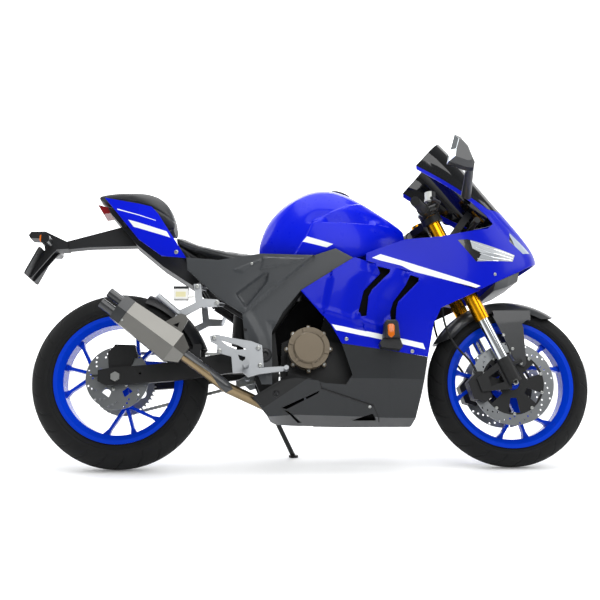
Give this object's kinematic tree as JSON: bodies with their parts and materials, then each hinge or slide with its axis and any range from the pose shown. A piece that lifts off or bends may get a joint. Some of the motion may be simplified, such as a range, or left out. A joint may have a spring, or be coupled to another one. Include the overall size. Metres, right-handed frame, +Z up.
{
  "type": "sport motorcycle",
  "caption": "Full-fairing sport motorcycle leaning on its side stand, with turning wheels, a pivoting steering head and a folding stand.",
  "frame": {"origin": "bottom centre of the parked bike's bounding box, on the ground", "axes": "+X forward, +Y to the rider's left, the side that the bike leans to, +Z up"},
  "size_m": [2.043, 0.7752, 1.1915],
  "materials": {
    "tyre_rubber": "matte treaded rubber",
    "blue_wheel": "gloss blue paint",
    "brake_steel": "ground steel",
    "black_alloy": "satin black",
    "steel": "satin",
    "gold_anodised": "anodised",
    "chrome": "polished",
    "silver_alloy": "cast satin",
    "grip_rubber": "matte",
    "black_plastic": "grained",
    "blue_plastic": "gloss paint",
    "blue_tank": "gloss paint",
    "smoked_screen": "dark tinted",
    "lens": "clear lens",
    "red_lens": "red lens",
    "amber_lens": "amber lens",
    "seat_vinyl": "grained vinyl",
    "bronze_cover": "bronze paint",
    "steel_silencer": "brushed",
    "clear_pot": "translucent"
  },
  "bodies": {
    "chassis": {"chain": "steel", "rear_axle": "steel", "side_fairings": "blue_plastic", "vent_liners": "black_plastic", "frame": "black_alloy", "engine": "black_alloy", "engine_covers": "bronze_cover", "radiator": "black_alloy", "swingarm": "black_alloy", "upper_cowl": "blue_plastic", "windscreen": "smoked_screen", "headlights": "lens", "nose_panel": "black_plastic", "instrument_stay": "black_alloy", "mirrors": "black_plastic", "belly_pan": "black_plastic", "fuel_tank": "blue_tank", "fuel_cap": "silver_alloy", "rider_seat": "seat_vinyl", "pillion_seat": "seat_vinyl", "tail_panels": "blue_plastic", "tail_light": "red_lens", "undertray": "black_plastic", "plate_holder": "black_plastic", "rear_indicators": "amber_lens", "frame_covers": "black_plastic", "exhaust_pipe": "steel", "heat_shield": "steel", "silencer": "steel_silencer", "silencer_cap": "black_alloy", "rearsets": "silver_alloy", "pillion_hangers": "silver_alloy", "rear_reservoir": "clear_pot", "rear_shock": "black_alloy", "rear_hugger": "black_plastic", "rear_caliper": "black_alloy", "frame_sliders": "black_plastic"},
    "steering": {"front_axle": "steel", "fork_tubes": "gold_anodised", "fork_legs": "chrome", "fork_feet": "black_alloy", "front_calipers": "black_alloy", "yokes": "black_alloy", "clip_ons": "black_alloy", "grips": "grip_rubber", "hand_controls": "black_alloy", "front_mudguard": "black_alloy", "front_brake_lines": "grip_rubber"},
    "front_wheel": {"front_tyre": "tyre_rubber", "front_rim": "blue_wheel", "front_discs": "brake_steel", "front_disc_carriers": "black_alloy"},
    "rear_wheel": {"rear_tyre": "tyre_rubber", "rear_rim": "blue_wheel", "rear_disc": "brake_steel", "rear_sprocket": "steel"},
    "side_stand": {"side_stand": "black_alloy"}
  },
  "joints": [
    {"name": "steering", "type": "hinge", "parent": "chassis", "child": "steering", "pos_m": [0.45512, -0.0168, 0.78813], "axis": [-0.4195, 0.1759, 0.8906], "range_deg": [-27, 27]},
    {"name": "front_wheel_spin", "type": "hinge", "parent": "steering", "child": "front_wheel", "pos_m": [0.7285, -0.11525, 0.28956], "axis": [0, 0.9811, -0.1937], "continuous": true},
    {"name": "rear_wheel_spin", "type": "hinge", "parent": "chassis", "child": "rear_wheel", "pos_m": [-0.6715, -0.11118, 0.31016], "axis": [0, 0.9811, -0.1937], "continuous": true},
    {"name": "side_stand", "type": "hinge", "parent": "chassis", "child": "side_stand", "pos_m": [-0.1265, -0.00478, 0.18824], "axis": [-0.2661, 0.9625, -0.0528], "range_deg": [0, 116.3]}
  ]
}
